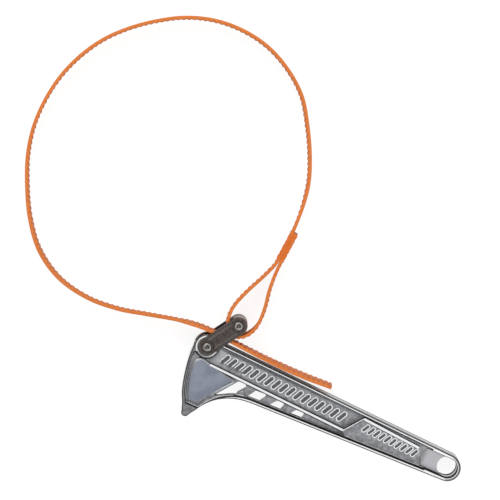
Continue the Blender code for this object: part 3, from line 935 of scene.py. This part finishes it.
def link_panel():
    """The raised panel between the pins: two straight sides and two hollow ends."""
    pivot, anchor = Vector(PIVOT), Vector(ANCHOR)
    along = (anchor - pivot).normalized()
    inset = along * PANEL_START
    side = Vector((-along.y, along.x)) * (PLATE_RADIUS - PANEL_MARGIN)
    back = LINK_TURN + 180
    near = arc(PIVOT, PANEL_HOLLOW, LINK_TURN + PANEL_SPREAD, LINK_TURN - PANEL_SPREAD, 14)
    far = arc(ANCHOR, PANEL_HOLLOW, back + PANEL_SPREAD, back - PANEL_SPREAD, 14)
    right = [tuple(pivot + inset - side), tuple(anchor - inset - side)]
    left = [tuple(anchor - inset + side), tuple(pivot + inset + side)]
    return near + right + far + left


def make_plate(node, outward, finish):
    """A side plate; its raised panel is on the outward side, +1 up or -1 down."""
    low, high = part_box(node)
    thick = high[2] - low[2]
    base = low[2] if outward > 0 else high[2]
    step = thick * PLATE_SHARE

    def facing(*pairs):
        made = [(base + outward * height, growth) for height, growth in pairs]
        return made if outward > 0 else made[::-1]

    lower_rim = ((0.0, -0.0004), (0.0003, 0.0))
    upper_rim = ((step - 0.0007, 0.0), (step - 0.0002, -0.0003), (step, -0.0009))
    rim = facing(*lower_rim, *upper_rim)
    plate = feature(f"{node}_forged", [stadium(PLATE_RADIUS)], rim)
    panel_top = ((thick - 0.00045, 0.0), (thick - 0.0001, -0.0003), (thick, -0.0007))
    panel = facing((step - 0.0006, 0.0003), *panel_top)
    recess = facing((step - 0.0003, -0.0006), (step - 0.0002, 0.0), (thick + 0.001, 0.0006))
    hole = facing((-0.001, 0.0), (thick + 0.001, 0.0))
    centres = (PIVOT, ANCHOR)
    combine(
        plate,
        [
            (feature("panel", [link_panel()], panel), "UNION"),
            (feature("recess", [arc(c, RECESS_RADIUS, 0, 350, 35) for c in centres], recess), "DIFFERENCE"),
            (feature("holes", [arc(c, PIN_HOLE, 0, 345, 23) for c in centres], hole), "DIFFERENCE"),
        ],
    )
    put(shade(plate, 32), finish)
    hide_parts(node)
    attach(plate, "link")


def make_pin(node, centre, finish):
    """A semi-tubular rivet: its rolled, dimpled end in front and a plain head behind."""
    low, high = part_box(node)
    head = (high[0] - low[0]) / 2
    top, bottom = high[2], low[2]
    neck_top, neck_bottom = top - RIVET_HEAD, bottom + RIVET_HEAD
    dimple = [(0.0, top - 0.0010), (0.0014, top - 0.00095), (0.0019, top - 0.0007), (0.0023, top - 0.0002)]
    rolled = [(0.0027, top), (0.0034, top), (head - 0.0003, top - 0.0002), (head, top - 0.0006)]
    rod = [(head, neck_top), (SHANK_RADIUS, neck_top), (SHANK_RADIUS, neck_bottom), (head, neck_bottom)]
    foot = [(head, bottom + 0.0005), (head - 0.0004, bottom + 0.0001), (head - 0.0009, bottom)]
    profile = [*dimple, *rolled, *rod, *foot, (0.0, bottom)]
    work = bmesh.new()
    line = [work.verts.new((r, 0.0, z)) for r, z in profile]
    for a, b in zip(line, line[1:]):
        work.edges.new((a, b))
    geometry = work.verts[:] + work.edges[:]
    bmesh.ops.spin(work, geom=geometry, cent=(0, 0, 0), axis=(0, 0, 1), angle=2 * math.pi, steps=56)
    bmesh.ops.remove_doubles(work, verts=work.verts, dist=0.000005)
    bmesh.ops.recalc_face_normals(work, faces=work.faces)
    bmesh.ops.translate(work, vec=(centre[0], centre[1], 0.0), verts=work.verts)
    pin = object_of(f"{node}_rivet", work)
    put(shade(pin, 40), finish)
    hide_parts(node)
    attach(pin, "link")


# ---------------------------------------------------------------- strap


def strap_route():
    """The strap's centre line: its points, the length up to each, and the index of each given point.

    A stretch's name stands for the index at which it ends.
    """
    points = []
    route = [STRETCHES["strap_tail_end"][0]]
    marks = {route[0]: 0}
    for given in STRETCHES.values():
        route += given[1:]
    legs = smooth(route, 0.0015)
    done = 0
    for name, given in STRETCHES.items():
        for leg, end in zip(legs[done:], given[1:]):
            points += leg[:-1]
            marks[end] = len(points)
        done += len(given) - 1
        marks[name] = len(points)
    points.append(legs[-1][-1])
    lengths = [0.0]
    for a, b in zip(points, points[1:]):
        lengths.append(lengths[-1] + (b - a).length)
    return points, lengths, marks


def strap_section(rib, swell):
    """The strap's outline across its width, as (height from the mid-plane, offset to the ribbed side).

    Swell is 1 in the sewn block, where the two layers are drawn together and bulge.
    """
    w = STRAP_HALF_WIDTH
    back = -STRAP_HALF - 0.0003 * swell
    front = STRAP_HALF - 0.5 * RIB_HEIGHT + rib + 0.0004 * swell
    return [
        (-w, -0.0005),
        (-w + 0.0002, back + 0.0002),
        (-w + STRAP_CORNER, back),
        (0.0, back),
        (w - STRAP_CORNER, back),
        (w - 0.0002, back + 0.0002),
        (w, -0.0005),
        (w, front - STRAP_CORNER),
        (w - 0.0003, front - 0.0002),
        (w - 0.0010, front),
        (0.0, front),
        (-w + 0.0010, front),
        (-w + 0.0003, front - 0.0002),
        (-w, front - STRAP_CORNER),
    ]


def eased(value, low, high):
    """0 below low and 1 above high, smooth between them."""
    t = min(1.0, max(0.0, (value - low) / (high - low)))
    return (3 - 2 * t) * t * t


def swell(y):
    """How much the webbing bulges in the sewn block, by its place along it."""
    begun = eased(y, BLOCK_START[1] - 0.009, BLOCK_START[1] - 0.002)
    ended = eased(y, BLOCK_END[1] + 0.001, EYE_START[1])
    return begun * (1 - ended)


def make_strap(name, start, end, route, lean, finish, sewn=False):
    """The webbing between two lengths along the route, with its ribs, as one closed strip."""
    points, lengths, _ = route
    step = RIB_PITCH / STATIONS_PER_RIB
    count = max(2, round((end - start) / step))
    stations = [start + (end - start) * i / count for i in range(count + 1)]
    work = bmesh.new()
    uv = work.loops.layers.uv.new("along_across")
    rings = []
    here = 0
    for s in stations:
        while here < len(lengths) - 2 and lengths[here + 1] < s:
            here += 1
        share = (s - lengths[here]) / (lengths[here + 1] - lengths[here])
        place = points[here].lerp(points[here + 1], share)
        before = points[max(0, here - 1)]
        after = points[min(len(points) - 1, here + 2)]
        along = (after - before).normalized()
        ribbed_side = Vector((along.y, -along.x))
        bump = (0.5 + 0.5 * math.cos(2 * math.pi * s / RIB_PITCH)) ** RIB_POWER
        tilt = lean(s)
        ring = []
        for height, offset in strap_section(RIB_HEIGHT * bump, swell(place.y) if sewn else 0.0):
            flat = place + ribbed_side * (offset + tilt * height)
            ring.append(work.verts.new((flat.x, flat.y, MID + height)))
        rings.append((s, ring))
    across = [0.0]
    first = [v.co.copy() for v in rings[0][1]]
    for a, b in zip(first, first[1:] + first[:1]):
        across.append(across[-1] + (b - a).length)
    size = len(first)
    for (s0, low), (s1, high) in zip(rings, rings[1:]):
        for i in range(size):
            j = (i + 1) % size
            face = work.faces.new((low[i], high[i], high[j], low[j]))
            corners = ((s0, across[i]), (s1, across[i]), (s1, across[i + 1]), (s0, across[i + 1]))
            for loop, corner in zip(face.loops, corners):
                loop[uv].uv = corner
    work.faces.new(rings[0][1])
    work.faces.new(list(reversed(rings[-1][1])))
    bmesh.ops.recalc_face_normals(work, faces=work.faces)
    strap = object_of(name, work)
    strap.data.shade_smooth()
    strap.data.set_sharp_from_angle(angle=math.radians(50))
    put(strap, finish)
    return strap


def make_straps(finish):
    route = strap_route()
    _, lengths, marks = route
    at = {name: lengths[marks[name]] for name in STRETCHES}
    lead_end = lengths[marks[LEAD_END]]

    leans = [(lengths[marks[point]], degrees) for point, degrees in LEANS.items()]

    def twist(s):
        """Slope of the strap across its width at a length along it, eased between the leans."""
        for (s0, a0), (s1, a1) in zip(leans, leans[1:]):
            if s <= s1:
                return math.tan(math.radians(a0 + (a1 - a0) * eased(s, s0, s1)))
        return math.tan(math.radians(leans[-1][1]))

    tail_end = make_strap("webbing_tail_end", 0.0, at["strap_tail_end"], route, twist, finish)
    tail = make_strap("webbing_tail", at["strap_tail_end"], at["strap_tail"], route, twist, finish)
    throat = make_strap("webbing_throat", at["strap_tail"], at["strap_throat"], route, twist, finish)
    lead = make_strap("webbing_lead", at["strap_throat"], lead_end, route, twist, finish)
    loop = make_strap("webbing_loop", lead_end, at["strap_loop"], route, twist, finish)
    eye = make_strap("webbing_eye", at["strap_loop"], lengths[-1], route, twist, finish, sewn=True)

    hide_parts("strap_tail_end")
    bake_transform(tail_end)
    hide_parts("strap_tail")
    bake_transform(tail)
    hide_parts("strap_throat")
    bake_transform(throat)
    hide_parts("strap_loop")
    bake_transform(lead)
    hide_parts("strap_loop")
    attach(loop, "strap_loop")
    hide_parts("strap_eye")
    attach(eye, "strap_loop")


def make_stitches(node, side, finish):
    """Rows of separate stitches across one face of the sewn block."""
    start = Vector(BLOCK_START)
    along = Vector(BLOCK_END) - start
    across = Vector((along.y, -along.x)).normalized()
    low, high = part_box(node)
    reach = (high[2] - low[2]) / 2
    pitch = 2 * reach / STITCHES_IN_ROW
    work = bmesh.new()
    for row in range(STITCH_ROWS):
        foot = start + along * row / (STITCH_ROWS - 1) + across * side * (BLOCK_HALF + STITCH_RISE)
        for i in range(STITCHES_IN_ROW):
            height = (i - (STITCHES_IN_ROW - 1) / 2) * pitch
            place = foot - across * height * math.tan(BLOCK_LEAN)
            made = bmesh.ops.create_uvsphere(work, u_segments=10, v_segments=8, radius=1.0)["verts"]
            bmesh.ops.scale(work, vec=(STITCH_RADIUS, STITCH_RADIUS, pitch * STITCH_FILL), verts=made)
            bmesh.ops.translate(work, vec=(place.x, place.y, MID + height), verts=made)
    stitches = object_of(f"{node}_rows", work)
    stitches.data.shade_smooth()
    put(stitches, finish)
    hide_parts(node)
    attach(stitches, "strap_loop")


# ---------------------------------------------------------------- studio


def make_floor(finish):
    work = bmesh.new()
    bmesh.ops.create_grid(work, x_segments=8, y_segments=8, size=FLOOR_HALF)
    floor = object_of("floor", work)
    floor.location.z = CAD_BOX[0][2] - FLOOR_GAP
    put(floor, finish)


def make_light(name, place, size, power, colour=(1.0, 1.0, 1.0)):
    data = bpy.data.lights.new(name, "AREA")
    data.shape = "SQUARE"
    data.size = size
    data.energy = power
    data.color = colour
    light = bpy.data.objects.new(name, data)
    bpy.context.scene.collection.objects.link(light)
    light.location = place
    aim = Vector(LIGHT_AIM) - Vector(place)
    light.rotation_euler = aim.to_track_quat("-Z", "Y").to_euler()


def make_studio():
    world = bpy.data.worlds.new("studio")
    bpy.context.scene.world = world
    world.use_nodes = True
    background = world.node_tree.nodes["Background"]
    background.inputs["Color"].default_value = (0.95, 0.97, 1.0, 1.0)
    background.inputs["Strength"].default_value = WORLD_STRENGTH
    make_light("key", (-0.9, 1.2, 1.4), 1.0, 17.0, (1.0, 0.98, 0.95))
    make_light("fill", (1.3, -0.5, 1.2), 1.2, 8.0, (0.94, 0.97, 1.0))
    make_light("top", (0.1, 0.1, 2.4), 2.4, 16.0)
    bpy.context.scene.view_settings.view_transform = "Standard"


def make_camera():
    data = bpy.data.cameras.new("camera")
    aim = Vector((*CAMERA_AIM, MID + FLANGE_HALF))
    place = Vector((*CAMERA_OVER, MID + FLANGE_HALF + CAMERA_HEIGHT))
    back = (place - aim).normalized()
    right = Vector(IMAGE_RIGHT)
    right = (right - back * right.dot(back)).normalized()
    data.sensor_width = 36.0
    data.lens = data.sensor_width * (place - aim).length / VIEW_WIDTH
    data.clip_end = 20.0
    camera = bpy.data.objects.new("camera", data)
    bpy.context.scene.collection.objects.link(camera)
    camera.location = place
    camera.rotation_euler = Matrix((right, back.cross(right), back)).transposed().to_euler()
    bpy.context.scene.camera = camera


make_camera()
webbing = woven_webbing()
make_straps(webbing)
thread = sewing_thread()
make_stitches("left_stitching", -1, thread)
make_stitches("right_stitching", 1, thread)
make_handle(cast_aluminium())
steel = blackened_steel()
make_plate("front_link_plate", 1, steel)
make_plate("rear_link_plate", -1, steel)
pins = turned_steel("pin_steel_skin", (PIVOT, ANCHOR), (0.36, 0.345, 0.33), (0.24, 0.23, 0.22))
make_pin("pivot_pin", PIVOT, pins)
make_pin("anchor_pin", ANCHOR, pins)
sleeves = turned_steel("sleeve_steel_skin", (PIVOT, ANCHOR), (0.40, 0.39, 0.38), (0.26, 0.25, 0.24))
for node in ("pivot_sleeve", "anchor_sleeve"):
    put(frame["nodes"][node], sleeves)
make_floor(pale_floor())
make_studio()
